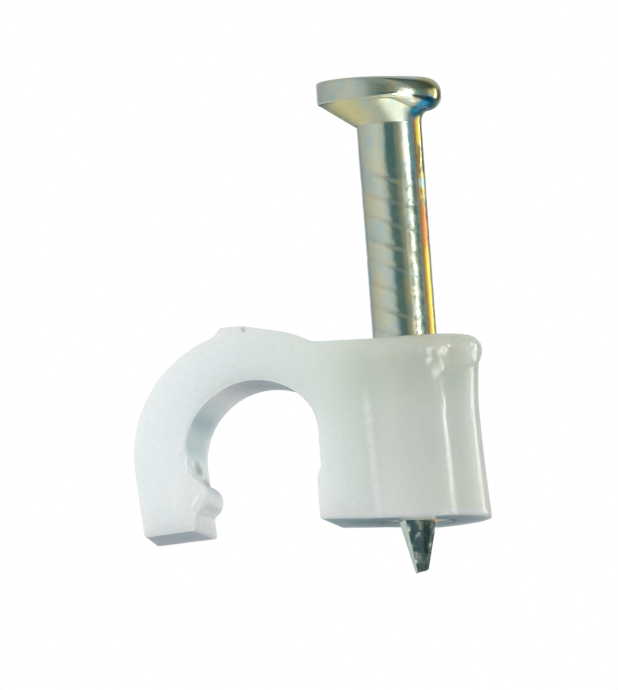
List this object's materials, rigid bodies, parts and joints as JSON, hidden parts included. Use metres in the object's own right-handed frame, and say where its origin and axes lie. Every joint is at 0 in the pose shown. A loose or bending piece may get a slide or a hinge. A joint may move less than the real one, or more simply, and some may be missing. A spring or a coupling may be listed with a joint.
{
  "type": "cable clip",
  "caption": "Round cable clip: a moulded plastic hook that arches over the cable, with a nail boss at one side and a masonry nail through it.",
  "frame": {"origin": "on the nail's axis, in the plane of the wall that the boss stands on", "axes": "+Z along the nail away from the wall, +X from the hook towards the boss, +Y from the front of the clip to its back"},
  "size_m": [0.0115, 0.0049, 0.0161],
  "materials": {
    "natural_plastic": "undyed translucent polyethylene, semi-gloss as moulded",
    "plated_steel": "zinc plated and passivated, bright with yellow and blue tints"
  },
  "bodies": {
    "root": {"clip_body": "natural_plastic", "nail": "plated_steel"}
  },
  "joints": []
}
